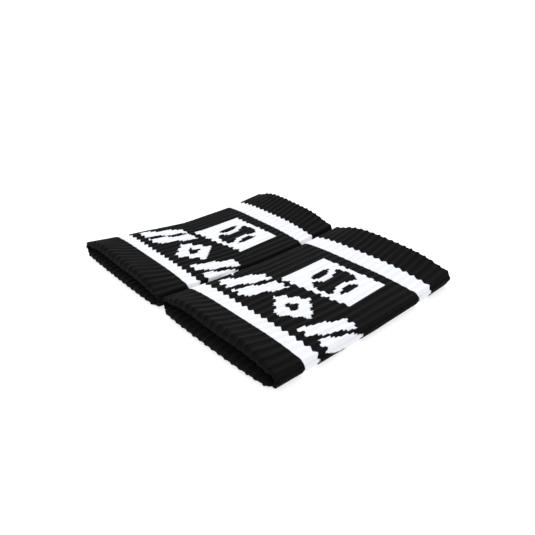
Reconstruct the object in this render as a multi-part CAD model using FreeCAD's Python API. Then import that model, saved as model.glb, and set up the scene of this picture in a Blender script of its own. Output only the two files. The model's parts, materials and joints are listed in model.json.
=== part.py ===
"""A pair of ribbed knit sweat wristbands, lying flat side by side.

Each band is a double-layer tube of rib knit, knitted twice as long as it is worn, folded in at
both mouths and closed by one seam inside. It lies pressed flat on its side folds, and its mouths
stand a little open. Every zone of the knit is cut at half height into a lower and an upper half,
because the tube opens by its upper half rising off its lower half.

Frame: +X across both bands, +Y along the arm towards the rear mouths, +Z up, floor at z = 0,
and the origin under the middle of the pair. All sizes are in millimetres.
"""
import FreeCAD, Part
import math
import os

# ---- lengths along the arm, from the front mouth to the rear mouth ----
band_length = 126.0
front_cuff_length = 15.5
front_stripe_width = 8.2
rear_stripe_width = 10.3
rear_cuff_length = 19.7

# ---- height of the flattened tube above the floor ----
front_mouth_height = 13.4 # at mid-width of a mouth, where the layers part
rear_mouth_height = 14.2
cuff_root_height = 9.6    # where a cuff meets its stripe
waist_height = 8.5        # at mid-width between the stripes
fold_height = 7.6         # at the two side folds
half_gap = 0.3            # between the lower and the upper half at the side folds
sole_press = 0.05         # how far the underside is pressed flat against the floor

# ---- layers of the wall, from the outside in ----
outer_thickness = 1.0
lining_thickness = 0.8
turned_edge = 1.8         # length of the full-thickness fold at a mouth
elastic_thickness = 0.5
elastic_width = 0.8
elastic_pitch = 3.4
front_elastic_rows = 4
rear_elastic_rows = 5
elastic_start = 3.0       # from a mouth to its first elastic row
seam_width = 2.4          # of the closing seam that joins the two ends of the lining

# ---- white motifs knitted into the centre panel ----
inlay_depth = 0.5
inlay_from_fold = 1.0     # the row stops this far short of where the side folds begin to turn
emblem_width = 39.0
emblem_length = 31.0
emblem_from_rear_stripe = 7.6
emblem_aside = 4.0        # to +X of the band's middle
ball_radius = 12.4
ball_seam_centre = 18.5
ball_seam_radius = 12.5
ball_seam_width = 2.8
row_height = 22.0
row_from_front_stripe = 6.2
row_pitch = 28.0
row_phase = 7.0           # sideways place of the middle motif
diamond_width = 25.0
diamond_hole = 0.36       # size of the dark middle, as a share of the diamond
bar_width = 8.5           # of one slanted bar
bar_gap = 3.5
bar_lean = 4.5            # how far either end of a bar leans aside

# ---- how the two bands lie ----
between_bands = 0.6
meeting_rear = -3.0       # sideways place of the rear end of the line where they meet
bands = {
    "band_a": {"side": -1, "front_width": 87.0, "waist_width": 74.0, "rear_width": 74.0,
               "skew_deg": -1.9, "ahead": 0.5},
    "band_b": {"side": 1, "front_width": 81.0, "waist_width": 81.0, "rear_width": 82.0,
               "skew_deg": -0.4, "ahead": 0.0},
}

# ---- places along the arm ----
front_mouth = -band_length / 2
front_stripe = front_mouth + front_cuff_length
panel_front = front_stripe + front_stripe_width
rear_mouth = band_length / 2
rear_stripe = rear_mouth - rear_cuff_length
panel_rear = rear_stripe - rear_stripe_width
waist = (panel_front + panel_rear) / 2
seam_front = waist - seam_width / 2
seam_rear = waist + seam_width / 2
wall = outer_thickness + lining_thickness
mid_height = fold_height / 2
far = 400.0               # larger than the pair, for the columns and boxes that cut it
stations = [front_mouth, front_stripe, panel_front, panel_rear, rear_stripe, rear_mouth]
station_heights = [front_mouth_height, cuff_root_height, waist_height, waist_height,
                   cuff_root_height, rear_mouth_height]


def between(value, places, amounts):
    """Straight-line value at a place between listed places."""
    for i in range(len(places) - 1):
        if value <= places[i + 1] + 1e-9:
            share = (value - places[i]) / (places[i + 1] - places[i])
            return amounts[i] + share * (amounts[i + 1] - amounts[i])
    return amounts[-1]


def width_at(band, y):
    return between(y, [front_mouth, waist, rear_mouth],
                   [band["front_width"], band["waist_width"], band["rear_width"]])


def centre_at(band, y):
    meeting = between(y, [front_mouth, waist, rear_mouth], [0, 0, meeting_rear])
    return meeting + band["side"] * (between_bands + width_at(band, y)) / 2


def section(band, y, depth):
    """Closed outline of the flattened tube at place y, a given depth under its outside."""
    half = width_at(band, y) / 2 - fold_height / 2
    radius = fold_height / 2 - depth
    low = depth if depth else -sole_press
    high = fold_height - depth
    crown = between(y, stations, station_heights) - depth
    turn = math.radians(band["skew_deg"])

    def at(across, up):
        return FreeCAD.Vector(centre_at(band, y) + across * math.cos(turn),
                              y + band["ahead"] + across * math.sin(turn), up)

    underside = Part.LineSegment(at(-half, low), at(half, low))
    right_fold = Part.Arc(at(half, low), at(half + radius, mid_height), at(half, high))
    top = Part.Arc(at(half, high), at(0, crown), at(-half, high))
    left_fold = Part.Arc(at(-half, high), at(-half - radius, mid_height), at(-half, low))
    return Part.Wire([edge.toShape() for edge in (underside, right_fold, top, left_fold)])


def tube(band, places, depth):
    """Solid tube through the sections at the listed places."""
    pieces = [Part.makeLoft([section(band, a, depth), section(band, b, depth)], True, True)
              for a, b in zip(places, places[1:])]
    return pieces[0] if len(pieces) == 1 else pieces[0].multiFuse(pieces[1:])


def layer(band, places, shallow, deep):
    """Ring between two depths of the wall, from the first place to the last."""
    return tube(band, places, shallow).cut(tube(band, places, deep))


def halves(ring):
    """Cut a ring at half height into its lower half, flat on the floor, and its upper half."""
    below = Part.makeBox(far, far, mid_height - half_gap / 2, FreeCAD.Vector(-far / 2, -far / 2, 0))
    above = Part.makeBox(far, far, far, FreeCAD.Vector(-far / 2, -far / 2, mid_height + half_gap / 2))
    return {"lower": ring.common(below), "upper": ring.common(above)}


def slab(band, y, width):
    """Upright slice of space across the band, square to its skewed sections."""
    block = Part.makeBox(far, width, far, FreeCAD.Vector(-far / 2, 0, -far / 2))
    block.rotate(FreeCAD.Vector(0, 0, 0), FreeCAD.Vector(0, 0, 1), band["skew_deg"])
    block.translate(FreeCAD.Vector(centre_at(band, y), y + band["ahead"], 0))
    return block


def prism(band, y, face):
    """A flat shape drawn about the band's middle at place y, made into an upright column."""
    column = face.extrude(FreeCAD.Vector(0, 0, far))
    column.translate(FreeCAD.Vector(0, 0, -far / 2))
    column.rotate(FreeCAD.Vector(0, 0, 0), FreeCAD.Vector(0, 0, 1), band["skew_deg"])
    column.translate(FreeCAD.Vector(centre_at(band, y), y + band["ahead"], 0))
    return column


def polygon(corners):
    points = [FreeCAD.Vector(x, y, 0) for x, y in corners]
    return Part.Face(Part.makePolygon(points + points[:1]))


def disc(x, radius):
    return Part.Face(Part.Wire(Part.makeCircle(radius, FreeCAD.Vector(x, 0, 0))))


def emblem_face():
    """White box with a dark ball in it, whose two curved seams are white."""
    left, right = emblem_aside - emblem_width / 2, emblem_aside + emblem_width / 2
    box = polygon([(left, -emblem_length / 2), (right, -emblem_length / 2),
                   (right, emblem_length / 2), (left, emblem_length / 2)])
    ball = disc(emblem_aside, ball_radius)
    seams = []
    for side in (-1, 1):
        centre = emblem_aside + side * ball_seam_centre
        rim = disc(centre, ball_seam_radius).cut(disc(centre, ball_seam_radius - ball_seam_width))
        seams.append(rim.common(ball))
    return [box.cut(ball)] + seams


def diamond_face(x):
    def outline(share):
        across = share * diamond_width / 2
        along = share * row_height / 2
        return polygon([(x - across, 0), (x, -along), (x + across, 0), (x, along)])
    return [outline(1).cut(outline(diamond_hole))]


def bar_faces(x):
    """Two slanted bars, side by side."""
    half = row_height / 2
    faces = []
    for start in (x - bar_gap / 2 - bar_width, x + bar_gap / 2):
        faces.append(polygon([(start - bar_lean, -half), (start + bar_width - bar_lean, -half),
                              (start + bar_width + bar_lean, half), (start + bar_lean, half)]))
    return faces


def row_faces():
    """The row of motifs across one face of the band: bars, diamond, bars."""
    return (bar_faces(row_phase - row_pitch) + diamond_face(row_phase)
            + bar_faces(row_phase + row_pitch))


def inlay(band, y, faces, skin):
    """Flat shapes let into a thin skin of the panel between its folds, as separate solids."""
    reach = (min(band["front_width"], band["rear_width"]) - fold_height) / 2 - inlay_from_fold
    flat_part = polygon([(-reach, -far), (reach, -far), (reach, far), (-reach, far)])
    parts = []
    for face in faces:
        for flat in face.common(flat_part).Faces:
            parts += prism(band, y, flat).common(skin).Solids
    return Part.makeCompound(parts)


def band_parts(name, band):
    """All the solids of one band, by node name."""
    nodes = {}

    def add(zone, ring):
        for half, shape in halves(ring).items():
            nodes[f"{name}_{zone}_{half}"] = shape

    # cuffs, with the full-thickness fold at each mouth
    front_fold = layer(band, [front_mouth, front_stripe], 0, wall).common(
        slab(band, front_mouth, turned_edge))
    add("front_cuff", layer(band, [front_mouth, front_stripe], 0, outer_thickness).fuse(front_fold))
    rear_fold = layer(band, [rear_stripe, rear_mouth], 0, wall).common(
        slab(band, rear_mouth - turned_edge, turned_edge))
    add("rear_cuff", layer(band, [rear_stripe, rear_mouth], 0, outer_thickness).fuse(rear_fold))
    add("front_stripe", layer(band, [front_stripe, panel_front], 0, outer_thickness))
    add("rear_stripe", layer(band, [panel_rear, rear_stripe], 0, outer_thickness))

    # centre panel, with its white motifs let into its outside
    panel_run = [panel_front, waist, panel_rear]
    add("centre_panel", layer(band, panel_run, 0, outer_thickness))
    skins = halves(layer(band, panel_run, 0, inlay_depth))
    row_middle = panel_front + row_from_front_stripe + row_height / 2
    emblem_middle = panel_rear - emblem_from_rear_stripe - emblem_length / 2
    motifs = {f"{name}_motif_row_lower": inlay(band, row_middle, row_faces(), skins["lower"]),
              f"{name}_motif_row_upper": inlay(band, row_middle, row_faces(), skins["upper"]),
              f"{name}_emblem_upper": inlay(band, emblem_middle, emblem_face(), skins["upper"])}
    for node, shape in motifs.items():
        panel = f"{name}_centre_panel_{node.rsplit('_', 1)[1]}"
        nodes[panel] = nodes[panel].cut(shape)
        nodes[node] = shape

    # lining in two runs, its closing seam, and the elastic rows laid in behind the cuffs
    front_run = [front_mouth, front_stripe, panel_front, seam_front]
    rear_run = [seam_rear, panel_rear, rear_stripe, rear_mouth]
    front_lining = layer(band, front_run, outer_thickness, wall).cut(
        slab(band, front_mouth, turned_edge))
    rear_lining = layer(band, rear_run, outer_thickness, wall).cut(
        slab(band, rear_mouth - turned_edge, turned_edge))
    elastic_depth = outer_thickness + elastic_thickness
    front_rows = layer(band, [front_mouth, front_stripe], outer_thickness, elastic_depth)
    rear_rows = layer(band, [rear_stripe, rear_mouth], outer_thickness, elastic_depth)
    front_slabs = Part.makeCompound(
        [slab(band, front_mouth + elastic_start + i * elastic_pitch, elastic_width)
         for i in range(front_elastic_rows)])
    rear_slabs = Part.makeCompound(
        [slab(band, rear_mouth - elastic_start - elastic_width - i * elastic_pitch, elastic_width)
         for i in range(rear_elastic_rows)])
    front_elastic = front_rows.common(front_slabs)
    rear_elastic = rear_rows.common(rear_slabs)
    add("front_elastic", front_elastic)
    add("rear_elastic", rear_elastic)
    add("front_lining", front_lining.cut(front_elastic))
    add("rear_lining", rear_lining.cut(rear_elastic))
    add("closing_seam", layer(band, [seam_front, waist, seam_rear], outer_thickness, wall))
    return nodes


def main():
    nodes = {}
    for name, band in bands.items():
        nodes.update(band_parts(name, band))
    whole = Part.makeCompound(list(nodes.values())).BoundBox
    to_middle = FreeCAD.Vector(-whole.Center.x, -whole.Center.y, 0)
    print("pair", round(whole.XLength, 2), round(whole.YLength, 2), round(whole.ZLength, 2),
          "moved by", [round(part, 3) for part in to_middle])
    os.makedirs("parts", exist_ok=True)
    for node, shape in nodes.items():
        solid = Part.makeCompound(shape.Solids) if len(shape.Solids) > 1 else shape.Solids[0]
        solid.translate(to_middle)
        solid.exportStep(f"parts/{node}.step")
        print(node, len(shape.Solids), round(solid.Volume, 1), solid.isValid())


main()
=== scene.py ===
# %% [markdown]
# # A pair of ribbed knit sweat wristbands
# Two wristbands lie flat, side by side, on a white floor. Each is a tube of rib knit that was knitted
# twice as long as it is worn and then folded in at both mouths, so its wall is two layers thick.
# The frame holds the plain solids of the pair, which move. This file gives them their knit: real rib
# relief in the mesh, white yarn let in for the stripes and motifs, and rounded, ribbed mouths.

# %% Load the frame
import json
import math

import bmesh
import bpy
import numpy as np
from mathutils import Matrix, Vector


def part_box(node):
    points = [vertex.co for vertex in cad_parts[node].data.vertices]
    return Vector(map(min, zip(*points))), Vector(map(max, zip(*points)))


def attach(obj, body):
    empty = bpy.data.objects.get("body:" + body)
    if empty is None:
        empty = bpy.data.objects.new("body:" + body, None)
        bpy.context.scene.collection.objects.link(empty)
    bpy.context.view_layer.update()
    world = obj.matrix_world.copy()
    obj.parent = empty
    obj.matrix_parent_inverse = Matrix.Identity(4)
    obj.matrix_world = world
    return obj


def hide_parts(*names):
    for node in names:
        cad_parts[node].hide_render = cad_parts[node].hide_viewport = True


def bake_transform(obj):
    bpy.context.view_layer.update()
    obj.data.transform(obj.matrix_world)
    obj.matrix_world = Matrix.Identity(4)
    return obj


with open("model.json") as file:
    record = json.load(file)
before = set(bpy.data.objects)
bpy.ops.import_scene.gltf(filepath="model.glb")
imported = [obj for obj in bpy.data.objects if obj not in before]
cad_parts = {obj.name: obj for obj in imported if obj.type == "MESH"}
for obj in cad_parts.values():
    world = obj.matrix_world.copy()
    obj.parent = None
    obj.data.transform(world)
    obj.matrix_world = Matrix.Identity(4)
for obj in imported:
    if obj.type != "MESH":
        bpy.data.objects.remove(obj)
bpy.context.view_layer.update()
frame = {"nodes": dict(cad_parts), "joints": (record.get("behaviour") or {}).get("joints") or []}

mm = 0.001

# %% [markdown]
# ## Camera first
# The view is from the front right, about 27 degrees above the floor, through a lens that is
# a little longer than a wide angle. A camera close to a small thing makes its near corner look large,
# so the distance matters as much as the lens. The camera turns to face a named point on the floor.

# %% Camera
camera_place = Vector((213.3, -184.8, 148.3)) * mm
camera_target = Vector((1.3, 5.5, 0.0)) * mm
camera_lens = 38.4

camera_data = bpy.data.cameras.new("front_right_camera")
camera = bpy.data.objects.new("front_right_camera", camera_data)
bpy.context.scene.collection.objects.link(camera)
camera.location = camera_place
camera.rotation_euler = (camera_target - camera_place).to_track_quat("-Z", "Y").to_euler()
camera_data.lens = camera_lens
camera_data.clip_start = 0.005
camera_data.clip_end = 100.0
bpy.context.scene.camera = camera
print("camera is", round((camera_target - camera_place).length / mm), "mm from its target")

# %% [markdown]
# ## How a band lies
# A flattened tube has a flat underside, two round side folds and a crowned top. Its height changes
# along the arm: low at the waist between the stripes and high at the mouths, where the layers part.
# The two bands were laid by hand, so neither is quite square, and the line where they meet bends.
# The places along the arm start from those of the frame. Knit gives a little, so each band also has
# its own small shifts of the stripe edges, and its own lower lip that stands out past the upper one.

# %% Sizes of the flattened tube
fold_radius = 3.8 * mm          # of the side folds at the waist
front_fold_radius = 4.2 * mm    # of the side folds at the front mouth
rear_fold_radius = 5.0 * mm     # of the side folds at the rear mouth
waist_height = 8.5 * mm
front_mouth_height = 13.4 * mm
rear_mouth_height = 15.4 * mm
crown_lean = 0.9 * mm           # how much more the mouths stand up on their -X side
bands = {
    "band_a": {"side": -1, "front_width": 83.8 * mm, "waist_width": 74.0 * mm, "rear_width": 74.0 * mm,
               "skew": math.radians(-1.9), "rear_lift": 0.4 * mm, "lip": 2.0 * mm,
               "stripe_shift": 2.2 * mm, "panel_shift": 1.0 * mm, "rear_shift": 0.9 * mm},
    "band_b": {"side": 1, "front_width": 84.2 * mm, "waist_width": 81.0 * mm, "rear_width": 82.0 * mm,
               "skew": math.radians(-0.4), "rear_lift": 0.0, "lip": 3.2 * mm,
               "stripe_shift": 0.1 * mm, "panel_shift": 0.4 * mm, "rear_shift": 0.7 * mm},
}
between_bands = 0.6 * mm
clearance = 0.2 * mm             # between the two knits where they meet
meeting_front_end = -3.2 * mm    # sideways place of the front end of the line where they meet
meeting_rear = -3.0 * mm         # and of its rear end
band_length = 126.0 * mm
front_cuff_length = 15.5 * mm
rear_cuff_length = 19.7 * mm
front_stripe_width = 8.2 * mm
rear_stripe_width = 10.3 * mm

front_mouth = -band_length / 2
front_stripe = front_mouth + front_cuff_length
panel_front = front_stripe + front_stripe_width
rear_mouth = band_length / 2
rear_stripe = rear_mouth - rear_cuff_length
panel_rear = rear_stripe - rear_stripe_width
waist = (panel_front + panel_rear) / 2

meeting_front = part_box("band_b_front_cuff_lower")[0].x - between_bands / 2
for name, band in bands.items():
    boxes = [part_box(node) for node in frame["nodes"] if node.startswith(name)]
    low, high = min(box[0].y for box in boxes), max(box[1].y for box in boxes)
    band["middle_y"] = (low + high) / 2
    print(name, "reaches from", round(low / mm, 1), "to", round(high / mm, 1), "mm along the arm")

# %% [markdown]
# ## Stitch columns round the tube
# On a knitting machine the tube is a fixed number of needles round, and here it is a fixed number of
# mesh columns. They are spread evenly over the tube as it is when it is stretched open, because then
# the side walls show ribs of the same width as the faces. Lying flat, the columns at the two folds
# crowd together, as real rib does in a crease.

# %% Columns
opening = next(j for j in frame["joints"] if j["name"] == "band_b_opening")["range_m"][1]
crease_low = 3.1 * mm       # below this height the knit stays with the lower half
crease_high = 4.95 * mm     # above this height it rises with the upper half
columns_per_rib = 8
rib_pitch_wanted = 4.55 * mm
reference_reach = 40 * mm - fold_radius


def trace_outline():
    """The outline of the tube, once round from the middle of the underside, in many small steps."""
    steps = 600
    line = np.linspace(0, 1, steps)
    arc = np.linspace(-90, 90, steps * 4)
    across = np.concatenate([line, np.ones(arc.size), 1 - 2 * line, -np.ones(arc.size), line - 1])
    turn = np.concatenate([np.full(steps, -90), arc, np.full(steps, 90), arc + 180, np.full(steps, 270)])
    return across, np.radians(turn)


def lift_rate(z):
    """How fast the share of the upper half's rise grows with height inside the crease."""
    share = np.clip((z - crease_low) / (crease_high - crease_low), 0, 1)
    return 6 * share * (1 - share) / (crease_high - crease_low)


def columns_round():
    across, turn = trace_outline()
    x = across * reference_reach + fold_radius * np.cos(turn)
    z = fold_radius * (1 + np.sin(turn))
    dx, dz = np.diff(x), np.diff(z)
    middle = (z[1:] + z[:-1]) / 2
    rest_step = np.hypot(dx, dz)
    open_step = np.hypot(dx, dz * (1 + opening * lift_rate(middle)))
    rest = np.concatenate([[0], np.cumsum(rest_step)])
    opened = np.concatenate([[0], np.cumsum(open_step)])
    ribs = round(opened[-1] / rib_pitch_wanted)
    count = ribs * columns_per_rib
    places = np.linspace(0, opened[-1], count + 1)
    return {"ribs": ribs, "count": count, "open_round": opened[-1], "rest_round": rest[-1],
            "across": np.interp(places, opened, across), "turn": np.interp(places, opened, turn),
            "rest": np.interp(places, opened, rest)}


columns = columns_round()
rib_pitch = columns["open_round"] / columns["ribs"]
squeeze = np.gradient(columns["rest"]) / (rib_pitch / columns_per_rib)
squeeze[-1] = squeeze[0]
print(columns["ribs"], "ribs of", round(rib_pitch / mm, 2), "mm;", columns["count"], "columns;",
      "flat girth", round(columns["rest_round"] / mm, 1), "mm")

# %% [markdown]
# ## From flat knit to the tube
# Every zone starts as a flat grid, as if it were cut open and laid out: its x is the share of the way
# round and its y runs along the arm. One function carries each point to its place on the band. It
# knows the outline at each place along the arm, and how deep under the outside the point lies.
# Its small waves repeat a whole number of times round the tube, so that the first and the last column
# land on the same spots and the ring closes.

# %% Place a point on the band
rib_depth = 0.65 * mm
flare_power = 1.4           # how late along the cuff the mouth flares open; 1 is a straight ramp
lining_ribbed = 0.8         # how deep the lining's ribs are beside those outside
lateral_wander = 0.35 * mm
surface_wave = 0.20 * mm


def mouth_share(y):
    """0 in the panel, 1 at either mouth."""
    front = np.clip((panel_front - y) / (panel_front - front_mouth), 0, 1)
    rear = np.clip((y - panel_rear) / (rear_mouth - panel_rear), 0, 1)
    return front + rear


def height_at(y):
    mouth_height = np.where(y < waist, front_mouth_height, rear_mouth_height)
    return waist_height + (mouth_height - waist_height) * mouth_share(y) ** flare_power


def width_at(band, y):
    return np.interp(y, [front_mouth, waist, rear_mouth],
                     [band["front_width"], band["waist_width"], band["rear_width"]])


def meeting_at(y):
    bend = [meeting_front_end, 0, meeting_rear]
    return meeting_front + np.interp(y, [front_mouth, waist, rear_mouth], bend)


def place(band, share, y, depth):
    """Where the points at these shares of the way round, places y and depths lie."""
    column = share * columns["count"]
    index = np.arange(columns["count"] + 1)
    across = np.interp(column, index, columns["across"])
    turn = np.interp(column, index, columns["turn"])
    girth = np.interp(column, index, columns["rest"])
    way_round = 2 * math.pi * share
    open_share = mouth_share(y)
    mouth_fold_radius = np.where(y < waist, front_fold_radius, rear_fold_radius)
    radius = fold_radius + (mouth_fold_radius - fold_radius) * open_share
    lift = band["rear_lift"] * np.clip(y / rear_mouth, 0, 1) ** 2 * np.clip(-across, 0, 1)
    reach = width_at(band, y) / 2 - radius
    crown = height_at(y) - 2 * radius
    lean = crown_lean * open_share ** 2
    on_top = np.clip(np.sin(turn), 0, 1) ** 8
    room = np.clip(1 - across ** 4, 0, 1)
    bulge = (crown * room ** 1.2 - lean * across * room) * on_top
    rise = -4.8 * crown * across ** 3 * room ** 0.2 - lean * (1 - 5 * across ** 4)
    across_normal = np.cos(turn) - rise * on_top / reach
    up_normal = np.sin(turn)
    size = np.hypot(across_normal, up_normal)
    across_normal, up_normal = across_normal / size, up_normal / size
    sway = lateral_wander * (np.sin(y / (19 * mm) + way_round)
                             + 0.6 * np.sin(y / (8.3 * mm) - 2 * way_round + 1.0))
    wave = surface_wave * on_top * (np.sin(girth / (17 * mm) + y / (29 * mm) + 1.3)
                                    + 0.5 * np.sin(girth / (7.1 * mm) - y / (13 * mm)))
    sideways = across * reach + radius * np.cos(turn) - depth * across_normal + sway * (1 - across ** 8)
    up = (radius + lift) * (1 + np.sin(turn)) + bulge + wave - depth * up_normal
    centre = meeting_at(y) + band["side"] * (clearance + width_at(band, y)) / 2
    return np.stack([centre + sideways * math.cos(band["skew"]),
                     band["middle_y"] + y + sideways * math.sin(band["skew"]), up], axis=-1)


def rib_inset(share, y):
    """How far the knit sinks between two ribs, at this share of the way round and place y."""
    column = share * columns["count"] % columns["count"]
    phase = column / columns_per_rib + 0.06 * np.sin(y / (6.1 * mm) + column * 0.7)
    valley = (0.5 + 0.5 * np.cos(2 * math.pi * phase)) ** 0.75
    number = np.floor(column / columns_per_rib)
    on_crest = np.sin(math.pi * (column / columns_per_rib % 1)) ** 2
    uneven = 1 + 0.22 * np.sin(number * 2.4 + y / (15 * mm)) * on_crest
    tightness = np.interp(column, np.arange(columns["count"] + 1), squeeze)
    return rib_depth * (valley * np.clip(tightness * 1.4, 0.12, 1) + 0.25 * (uneven - 1))


# %% [markdown]
# ## Knitting one zone
# A zone is a closed ring with an outside, an inside and two end walls. The grid is given a *profile*:
# the path that its rows follow along the arm and into the wall. When it has been carried to the band,
# the grid's two pairs of edges meet, and merging them closes the ring. The rows that face the wearer's
# eye are close together, and the rows of the hidden inside are few.

# %% Make a ring of knit
merge_distance = 0.5e-6


def finish_piece(name, bm, material):
    bmesh.ops.remove_doubles(bm, verts=bm.verts, dist=merge_distance)
    bmesh.ops.recalc_face_normals(bm, faces=bm.faces)
    for face in bm.faces:
        face.smooth = True
    mesh = bpy.data.meshes.new(name)
    bm.to_mesh(mesh)
    bm.free()
    mesh.materials.append(material)
    piece = bpy.data.objects.new(name, mesh)
    bpy.context.scene.collection.objects.link(piece)
    print(f"{name}: {len(mesh.polygons) * 2} triangles")
    return piece


def carry(bm, spots, fabric):
    """Move the flat grid's points to their spots, and keep the flat fabric size as its UV map."""
    flat = bpy.data.meshes.new("flat")
    bm.to_mesh(flat)
    bm.clear()
    corners = np.zeros(len(flat.loops), int)
    flat.loops.foreach_get("vertex_index", corners)
    uv = flat.uv_layers.active or flat.uv_layers.new(name="knit")
    uv.data.foreach_set("uv", fabric[corners].astype(np.float32).ravel())
    flat.vertices.foreach_set("co", spots.astype(np.float32).ravel())
    bm.from_mesh(flat)
    bpy.data.meshes.remove(flat)
    return bm


def flat_points(bm):
    return np.array([v.co for v in bm.verts])


def ring(name, band, profile, ribbed, material, every=1):
    """profile: rows of (y, depth, outward y, outward depth), arrays over the columns or numbers."""
    count = columns["count"] // every
    rows = len(profile)
    bm = bmesh.new()
    bmesh.ops.create_grid(bm, x_segments=count, y_segments=rows, size=0.5, calc_uvs=True)
    points = flat_points(bm)
    share = points[:, 0] + 0.5
    row = np.rint((points[:, 1] + 0.5) * rows).astype(int)
    column = np.rint(share * count).astype(int)
    table = np.array([[np.broadcast_to(value, (count + 1,)) for value in line] for line in profile])
    table = np.concatenate([table, table[:1]])
    y, depth, out_y, out_depth = (table[row, k, column] for k in range(4))
    inset = rib_inset(share, y) * ribbed
    y = y - out_y * inset
    depth = depth - out_depth * inset
    spots = place(band, share, y, depth)
    along = np.concatenate([[0], np.cumsum(np.hypot(np.diff(table[:, 0].mean(1)),
                                                    np.diff(table[:, 1].mean(1))))])
    fabric = np.stack([share * columns["open_round"], along[row]], axis=-1)
    carry(bm, spots, fabric)
    return finish_piece(name, bm, material)


# %% [markdown]
# ## Two yarns
# The knit is two yarns: dull black and bright white. Both are spun fibre, so they are rough and catch
# a little light at grazing angles, which the shader calls sheen. Each stitch is a small V of two legs.
# The stitches are too small for the mesh, so the shader raises them with a bump that is drawn on the
# flat fabric's own coordinates. The colour is darker where a stitch sinks between its legs, which is
# painted shade. A slow noise makes some courses a little darker than others.

# %% Yarn material
stitch_width = rib_pitch / 4
stitch_height = 1.05 * mm


def math_node(nodes, links, operation, first, second=None):
    node = nodes.new("ShaderNodeMath")
    node.operation = operation
    for socket, value in zip(node.inputs, (first, second)):
        if value is None:
            continue
        if isinstance(value, (int, float)):
            socket.default_value = value
        else:
            links.new(value, socket)
    return node.outputs[0]


def yarn(name, dark, light, sheen, bump):
    """Knit of one yarn: dark and light are the colours down in and up on the stitches; the dark one is
    painted shade.
    """
    material = bpy.data.materials.new(name)
    material.use_nodes = True
    nodes, links = material.node_tree.nodes, material.node_tree.links
    shader = nodes["Principled BSDF"]
    shader.inputs["Roughness"].default_value = 0.88
    shader.inputs["Sheen Weight"].default_value = sheen
    shader.inputs["Sheen Roughness"].default_value = 0.45
    shader.inputs["Specular IOR Level"].default_value = 0.06

    fabric = nodes.new("ShaderNodeUVMap")
    fabric.uv_map = "UVMap"
    split = nodes.new("ShaderNodeSeparateXYZ")
    links.new(fabric.outputs["UV"], split.inputs[0])

    def step(operation, first, second=None):
        return math_node(nodes, links, operation, first, second)

    wale = step("SUBTRACT", step("FRACT", step("DIVIDE", split.outputs["X"], stitch_width)), 0.5)
    off_centre = step("ABSOLUTE", wale)
    leg = step("SUBTRACT", 1.0, step("POWER", step("ABSOLUTE", step(
        "MULTIPLY", step("SUBTRACT", off_centre, 0.25), 4.0)), 2.0))
    course = step("SUBTRACT", step("DIVIDE", split.outputs["Y"], stitch_height),
                  step("MULTIPLY", off_centre, 1.3))
    loop = step("MULTIPLY", step("COSINE", step("MULTIPLY", course, 2 * math.pi)), 0.35)
    raised = step("MULTIPLY", leg, step("ADD", loop, 0.65))

    place_in_space = nodes.new("ShaderNodeTexCoord")
    fibre = nodes.new("ShaderNodeTexNoise")
    fibre.inputs["Scale"].default_value = 2600.0
    fibre.inputs["Detail"].default_value = 3.0
    links.new(place_in_space.outputs["Object"], fibre.inputs["Vector"])
    height = step("ADD", raised, step("MULTIPLY", fibre.outputs[0], 0.5))
    relief = nodes.new("ShaderNodeBump")
    relief.inputs["Strength"].default_value = 1.0
    relief.inputs["Distance"].default_value = bump
    links.new(height, relief.inputs["Height"])
    links.new(relief.outputs["Normal"], shader.inputs["Normal"])

    slow = nodes.new("ShaderNodeTexNoise")
    slow.inputs["Scale"].default_value = 160.0
    slow.inputs["Detail"].default_value = 4.0
    links.new(place_in_space.outputs["Object"], slow.inputs["Vector"])
    # Painted shade: the colour darkens where the stitch is low, between its legs; the slow noise adds random
    # tone.
    shade_and_tone = step("ADD", step("MULTIPLY", raised, 0.7), step("MULTIPLY", slow.outputs[0], 0.5))
    blend = nodes.new("ShaderNodeMix")
    blend.data_type = "RGBA"
    links.new(shade_and_tone, blend.inputs[0])
    blend.inputs[6].default_value = (*dark, 1.0)
    blend.inputs[7].default_value = (*light, 1.0)
    links.new(blend.outputs[2], shader.inputs["Base Color"])
    return material


# Each yarn's first colour is painted shade down between the stitch legs, its second the colour on top.
black_yarn = yarn("black_yarn", (0.0022, 0.0022, 0.0027), (0.0062, 0.0061, 0.0072), 0.02, 0.16 * mm)
white_yarn = yarn("white_yarn", (0.74, 0.76, 0.81), (0.93, 0.94, 0.97), 0.03, 0.14 * mm)
# Painted shade: the lining is the same black knit, drawn a little darker than the black yarn for the inside
# of the tube.
shaded_lining_yarn = yarn("shaded_lining_yarn", (0.0020, 0.0020, 0.0024), (0.0055, 0.0055, 0.0062), 0.02, 0.16 * mm)
elastic_yarn = yarn("elastic_yarn", (0.020, 0.020, 0.021), (0.050, 0.050, 0.052), 0.05, 0.05 * mm)
seam_thread = yarn("seam_thread", (0.006, 0.006, 0.007), (0.018, 0.018, 0.020), 0.10, 0.10 * mm)
print("stitches are", round(stitch_width / mm, 2), "by", round(stitch_height / mm, 2), "mm")

# %% [markdown]
# ## The wall at a mouth
# At each mouth the outer layer turns in and becomes the lining. The fold is a soft half round as
# thick as the wall, and the ribs run over it, so the rim looks scalloped. The wall is thinnest at the
# side folds and thickest under the crown of the mouth, where the knit is free to stand up.

# %% Profiles
outer_layer = 0.9 * mm
row_step = 0.5 * mm
turn_in = 9.0 * mm          # how far the turned edge runs back inside
fold_wall = 2.65 * mm       # double wall at the side folds
waist_wall = 3.0 * mm       # double wall of the faces at the waist
floor_mouth_wall = 4.6 * mm
top_mouth_wall = {"band_a": 7.4 * mm, "band_b": 7.2 * mm}
panel_tooth = 1.3 * mm      # how far the yarns reach into each other at a stripe's panel edge
cuff_tooth = 0.7 * mm       # and at its cuff edge
knot_height = 0.14 * mm     # of the small knots along a rim
rim_rows = 10               # rows round a rim
rim_smoothing = 0.45        # how much of the rib relief a rim loses where it is furthest out

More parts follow.
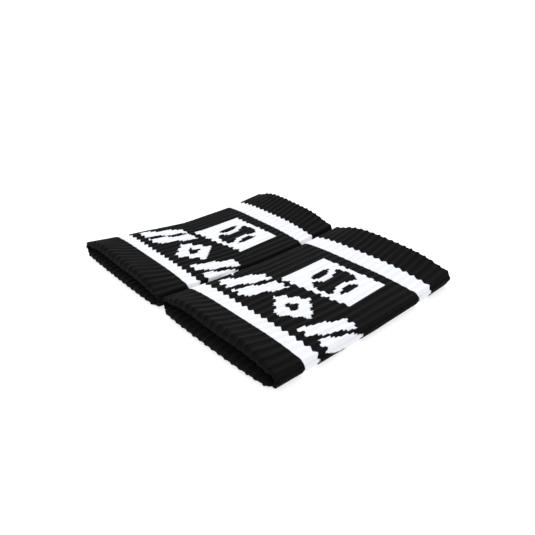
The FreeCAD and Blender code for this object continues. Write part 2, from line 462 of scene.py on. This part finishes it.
column_across = columns["across"]
column_turn = columns["turn"]
column_top = np.clip(np.sin(column_turn), 0, 1) ** 8
column_floor = np.clip(-np.sin(column_turn), 0, 1) ** 8
column_middle = np.clip(1 - column_across ** 2, 0, 1)
column_number = np.arange(columns["count"] + 1) % columns["count"]
column_valley = np.abs(2 * (column_number / columns_per_rib % 1.0) - 1)
column_knot = np.cos(math.pi * column_number / 2) + 0.6 * np.sin(column_number * 1.9)


def wall_at(y, name="band_b"):
    """Thickness of the double wall, for every column, at a place along the arm."""
    openness = mouth_share(y) ** flare_power
    top_wall = waist_wall + (top_mouth_wall[name] - waist_wall) * openness
    floor_wall = waist_wall + (floor_mouth_wall - waist_wall) * openness
    return (fold_wall + (top_wall - fold_wall) * column_middle ** 0.5 * column_top
            + (floor_wall - fold_wall) * column_middle ** 0.25 * column_floor)


def yarn_edge(y, into, tooth):
    """A change of yarn: it reaches further at the crest of a rib than in its valley."""
    return y + into * tooth * (0.5 - column_valley)


def rows_between(start, end):
    return max(2, round(float(np.mean(np.abs(end - start))) / row_step))


def straight_rows(start, end, depth=0.0, out_depth=-1.0):
    """Rows from one edge to another along one face of the knit, without the last."""
    count = rows_between(start, end)
    return [(start + (end - start) * i / count, depth, 0.0, out_depth) for i in range(count)]


def zone_profile(start, end):
    """Outside rows from start to end, then the hidden inside back to the start."""
    rows = straight_rows(start, end)
    rows.append((end, 0.0, 0.0, -1.0))
    rows.append((end, outer_layer, 0.0, 0.0))
    rows.append(((start + end) / 2, outer_layer, 0.0, 0.0))
    rows.append((start, outer_layer, 0.0, 0.0))
    return rows


def cuff_profile(stripe_edge, mouth, inward, name):
    """Outside rows to the mouth, round the rim, and back along the inside to the turned edge."""
    wall = wall_at(mouth, name)
    radius = wall / 2
    lip = bands[name]["lip"] * column_floor * column_middle ** 0.25
    middle = mouth + inward * (radius - lip)
    turned = np.full(middle.shape, mouth + inward * turn_in)
    rows = straight_rows(stripe_edge, middle)
    for i in range(rim_rows + 1):
        angle = math.pi * i / rim_rows
        knot = knot_height * column_knot * math.sin(angle)
        relief = 1 - rim_smoothing * math.sin(angle)
        rows.append((middle - inward * (radius + knot) * math.sin(angle),
                     radius - (radius + knot) * math.cos(angle),
                     -inward * math.sin(angle) * relief, -math.cos(angle) * relief))
    rows += straight_rows(middle, turned, wall, lining_ribbed)[1:]
    rows.append((turned, wall, 0.0, lining_ribbed))
    rows.append((turned, wall - outer_layer, 0.0, 0.0))
    rows.append((middle, wall - outer_layer, 0.0, 0.0))
    rows.append((middle, outer_layer, 0.0, 0.0))
    rows.append((stripe_edge, outer_layer, 0.0, 0.0))
    return rows


# %% [markdown]
# ## The outside of a band
# Five rings follow one another from the front mouth to the rear one: cuff, white stripe, centre panel,
# white stripe, cuff. Where two yarns meet, both rings use the same toothed edge, so they close up.

# %% Outer rings
zone_edges = {name: {
    "front_stripe": yarn_edge(front_stripe + band["stripe_shift"], -1, cuff_tooth),
    "panel_front": yarn_edge(panel_front + band["panel_shift"], 1, panel_tooth),
    "panel_rear": yarn_edge(panel_rear + band["rear_shift"], -1, panel_tooth),
    "rear_stripe": yarn_edge(rear_stripe + band["rear_shift"], 1, cuff_tooth),
} for name, band in bands.items()}


def both_halves(piece, name, zone):
    """The piece stands for the zone's two halves, whose frame parts are hidden."""
    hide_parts(f"{name}_{zone}_lower", f"{name}_{zone}_upper")
    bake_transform(piece)
    return piece


def outer_rings(name, band):
    edges = zone_edges[name]
    plan = {
        "front_cuff": (cuff_profile(edges["front_stripe"], front_mouth, 1, name), black_yarn, "black_yarn"),
        "front_stripe": (zone_profile(edges["front_stripe"], edges["panel_front"]), white_yarn, "white_yarn"),
        "centre_panel": (zone_profile(edges["panel_front"], edges["panel_rear"]), black_yarn, "black_yarn"),
        "rear_stripe": (zone_profile(edges["panel_rear"], edges["rear_stripe"]), white_yarn, "white_yarn"),
        "rear_cuff": (cuff_profile(edges["rear_stripe"], rear_mouth, -1, name), black_yarn, "black_yarn"),
    }
    for zone, (profile, material, slot_name) in plan.items():
        piece = ring(f"{name}_{zone}", band, profile, 1.0, material)
        both_halves(piece, name, zone)


for name, band in bands.items():
    outer_rings(name, band)

# %% [markdown]
# ## White motifs
# A jacquard machine swaps the yarn stitch by stitch, so every edge of a motif is a staircase. The
# motifs are drawn here as rules: a point is white or black by plain geometry. The rule is asked once
# for each small cell of knit, the black cells are cut out of a flat grid, and what is left is given a
# little thickness and carried to the band, just proud of the black. The box holds a generic ball.

# %% Rules of the motifs
cell_columns = 2
cell_rows = 2
cell_jog = 0.30 * mm            # how far a motif's edge reaches on at the crest of a rib
emblem_width = 39.0 * mm
emblem_length = 31.0 * mm
emblem_from_stripe = 6.9 * mm
emblem_aside = 4.0 * mm
emblem_front_lean = 3.5 * mm    # how far the box's front edge slopes, from its middle to its end
emblem_rear_lean = 1.0 * mm     # and its rear edge
ball_radius = 12.4 * mm
ball_seam_centre = 17.8 * mm
ball_seam_radius = 12.2 * mm
ball_seam_width = 3.4 * mm
row_height = 22.0 * mm
row_from_stripe = 6.2 * mm
row_motifs = 6
row_phase = 7.0 * mm
diamond_width = 25.0 * mm
diamond_hole = 0.34
bar_width = 8.5 * mm
bar_gap = 3.5 * mm
bar_lean = 4.5 * mm

emblem_middle = panel_rear - emblem_from_stripe - emblem_length / 2
row_middle = panel_front + row_from_stripe + row_height / 2


def emblem_is_white(x, y):
    x = x - emblem_aside
    y = y - emblem_middle
    aside = x / (emblem_width / 2)
    front_edge = -emblem_length / 2 + emblem_front_lean * aside
    boxed = abs(aside) < 1 and front_edge < y < emblem_length / 2 + emblem_rear_lean * aside
    in_ball = math.hypot(x, y) < ball_radius
    from_seam = abs(math.hypot(abs(x) - ball_seam_centre, y) - ball_seam_radius)
    return boxed and (not in_ball or from_seam < ball_seam_width / 2)


def row_is_white(x, y):
    up = (y - row_middle) / (row_height / 2)
    if abs(up) > 1:
        return False
    motif_pitch = columns["rest_round"] / row_motifs
    turns = (x - row_phase) / motif_pitch + 0.5
    number = math.floor(turns)
    x = (turns - number - 0.5) * motif_pitch
    if number % 2 == 0:
        return diamond_hole < abs(x) / (diamond_width / 2) + abs(up) < 1.02
    return bar_gap / 2 < abs(x - bar_lean * up) < bar_gap / 2 + bar_width


# %% Cut the motifs out of flat knit
inlay_proud = 0.10 * mm
inlay_thickness = 0.55 * mm


def inlay(name, motif, band, is_white, start, end):
    """White cells between two places along the arm, as one closed piece just proud of the panel.

    A motif that crosses the line where the flat grid's ends meet would keep a wall inside it, so the
    walls that face each other there are removed."""
    low_edge, high_edge = zone_edges[name]["panel_front"], zone_edges[name]["panel_rear"]
    panel_rows = rows_between(low_edge, high_edge)
    mean_low, mean_high = float(low_edge.mean()), float(high_edge.mean())
    first = math.floor((start - mean_low) / (mean_high - mean_low) * panel_rows / cell_rows) * cell_rows
    last = math.ceil((end - mean_low) / (mean_high - mean_low) * panel_rows / cell_rows) * cell_rows
    rows = last - first
    count = columns["count"]
    bm = bmesh.new()
    bmesh.ops.create_grid(bm, x_segments=count, y_segments=rows, size=0.5, calc_uvs=True)
    middle_girth = columns["rest_round"] / 2

    def is_black(face):
        spot = face.calc_center_median()
        cell = math.floor((spot.x + 0.5) * count / cell_columns)
        cell_row = math.floor((spot.y + 0.5) * rows / cell_rows)
        girth = np.interp((cell + 0.5) * cell_columns, np.arange(count + 1), columns["rest"])
        y = mean_low + (mean_high - mean_low) * (first + (cell_row + 0.5) * cell_rows) / panel_rows
        on_crest = cell % 4 in (1, 2)
        return not is_white(middle_girth - girth, y - cell_jog if on_crest else y + cell_jog)

    bmesh.ops.delete(bm, geom=[face for face in bm.faces if is_black(face)], context="FACES")
    under = bmesh.ops.extrude_face_region(bm, geom=bm.faces[:], use_keep_orig=True)
    for element in under["geom"]:
        if isinstance(element, bmesh.types.BMVert):
            element.co.z = -1.0
    ends = [{round(face.calc_center_median().y, 6): face for face in bm.faces
             if all(vert.co.x == side for vert in face.verts)} for side in (-0.5, 0.5)]
    paired = [end[y] for end in ends for y in end if y in ends[0] and y in ends[1]]
    bmesh.ops.delete(bm, geom=paired, context="FACES")
    points = flat_points(bm)
    share = points[:, 0] + 0.5
    along = (first + (points[:, 1] + 0.5) * rows) / panel_rows
    column = np.rint(share * count).astype(int)
    y = low_edge[column] + (high_edge[column] - low_edge[column]) * along
    inset = rib_inset(share, y)
    depth = inset - inlay_proud - points[:, 2] * inlay_thickness
    spots = place(band, share, y, depth)
    fabric = np.stack([share * columns["open_round"], y], axis=-1)
    carry(bm, spots, fabric)
    return finish_piece(f"{name}_{motif}", bm, white_yarn)


for name, band in bands.items():
    emblem = inlay(name, "emblem", band, emblem_is_white,
                   emblem_middle - emblem_length / 2 - emblem_front_lean,
                   emblem_middle + emblem_length / 2 + emblem_rear_lean)
    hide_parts(f"{name}_emblem_upper")
    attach(emblem, f"{name}_upper")
    row = inlay(name, "motif_row", band, row_is_white,
                row_middle - row_height / 2, row_middle + row_height / 2)
    both_halves(row, name, "motif_row")

# %% [markdown]
# ## Inside the tube
# The lining is the second half of the same knit, turned in. Its two ends meet at a linked seam in the
# middle of the band, where nobody sees it. Behind each cuff, between the two layers, lie the covered
# elastic rows that make the cuff grip.

# %% Lining, seam and elastic
lining_layer = 0.8 * mm
lining_row_step = 1.0 * mm
seam_width = 2.4 * mm
seam_proud = 0.35 * mm
elastic_radius = 0.30 * mm
elastic_depth = 1.25 * mm
elastic_pitch = 3.4 * mm
elastic_start = 3.4 * mm


def lining_profile(start, end, name):
    """Rows along the inside from start to end, then the hidden back of the lining."""
    count = max(2, round(abs(end - start) / lining_row_step))
    places = [start + (end - start) * i / count for i in range(count + 1)]
    rows = [(y, wall_at(y, name), 0.0, 1.0) for y in places]
    back = [start + (end - start) * i / 6 for i in range(7)]
    return rows + [(y, wall_at(y, name) - lining_layer, 0.0, 0.0) for y in reversed(back)]


def seam_profile():
    rows = []
    for i in range(9):
        angle = math.pi * i / 8
        rows.append((waist - seam_width / 2 * math.cos(angle),
                     wall_at(waist) + seam_proud * math.sin(angle), 0.0, 1.0))
    rows.append((waist + seam_width / 2, wall_at(waist) - lining_layer, 0.0, 0.0))
    rows.append((waist - seam_width / 2, wall_at(waist) - lining_layer, 0.0, 0.0))
    return rows


def elastic_profile(y):
    """A round cord of covered elastic, eight sides, laid round the tube at place y."""
    return [(y + elastic_radius * math.cos(angle), elastic_depth + elastic_radius * math.sin(angle), 0.0, 0.0)
            for angle in (math.pi / 4 * i for i in range(8))]


def join(pieces, name):
    """Make one object of several, keeping the first one's mesh and slots."""
    bm = bmesh.new()
    for piece in pieces:
        bm.from_mesh(piece.data)
    bm.to_mesh(pieces[0].data)
    bm.free()
    for piece in pieces[1:]:
        bpy.data.objects.remove(piece)
    pieces[0].name = name
    return pieces[0]


for name, band in bands.items():
    front_run = lining_profile(front_mouth + turn_in, waist - seam_width / 2, name)
    rear_run = lining_profile(waist + seam_width / 2, rear_mouth - turn_in, name)
    for zone, run in (("front_lining", front_run), ("rear_lining", rear_run)):
        # The lining's yarn is the black yarn made darker, as painted shade inside the tube.
        lining = ring(f"{name}_{zone}", band, run, lining_ribbed, shaded_lining_yarn)
        both_halves(lining, name, zone)
    seam = ring(f"{name}_closing_seam", band, seam_profile(), lining_ribbed, seam_thread)
    both_halves(seam, name, "closing_seam")
    elastic_plan = (("front_elastic", front_mouth, 1, 4), ("rear_elastic", rear_mouth, -1, 5))
    for zone, mouth, inward, turns in elastic_plan:
        cords = [ring(f"{name}_{zone}_{i}", band,
                      elastic_profile(mouth + inward * (elastic_start + i * elastic_pitch)),
                      0.0, elastic_yarn, every=2) for i in range(turns)]
        both_halves(join(cords, f"{name}_{zone}"), name, zone)

# %% [markdown]


# %% [markdown]
# ## Floor and light
# A white floor that is lit almost to clipping keeps only the faintest contact shadow. It glows a
# little by itself, so that the shadow stays pale. A large soft light behind and to the left of the
# bands gives the ribs their shading, and the world fills in from everywhere.

# %% Floor
floor_size = 60.0
floor_mesh = bpy.data.meshes.new("floor")
floor_bm = bmesh.new()
bmesh.ops.create_grid(floor_bm, x_segments=1, y_segments=1, size=floor_size / 2)
bmesh.ops.translate(floor_bm, verts=floor_bm.verts, vec=(0, 0, -0.05 * mm))
floor_bm.to_mesh(floor_mesh)
floor_bm.free()
floor = bpy.data.objects.new("floor", floor_mesh)
bpy.context.scene.collection.objects.link(floor)
floor_white = bpy.data.materials.new("floor_white")
floor_white.use_nodes = True
floor_shader = floor_white.node_tree.nodes["Principled BSDF"]
floor_shader.inputs["Base Color"].default_value = (0.52, 0.52, 0.52, 1.0)
floor_shader.inputs["Roughness"].default_value = 0.9
floor_shader.inputs["Emission Color"].default_value = (1.0, 1.0, 1.0, 1.0)
floor_shader.inputs["Emission Strength"].default_value = 0.66
floor_mesh.materials.append(floor_white)

# %% Light
world = bpy.data.worlds.new("soft_room")
bpy.context.scene.world = world
world.use_nodes = True
world.node_tree.nodes["Background"].inputs["Color"].default_value = (1.0, 1.0, 1.0, 1.0)
world.node_tree.nodes["Background"].inputs["Strength"].default_value = 0.95


def soft_light(name, spot, size, power):
    data = bpy.data.lights.new(name, "AREA")
    data.size = size
    data.energy = power
    lamp = bpy.data.objects.new(name, data)
    bpy.context.scene.collection.objects.link(lamp)
    lamp.location = spot
    lamp.rotation_euler = (-Vector(spot)).to_track_quat("-Z", "Y").to_euler()
    print(name, "at", spot)


soft_light("key_light", (-0.75, 0.55, 0.85), 0.7, 7.0)
soft_light("fill_light", (0.5, -0.9, 0.8), 0.8, 1.5)
bpy.context.scene.view_settings.view_transform = "Standard"
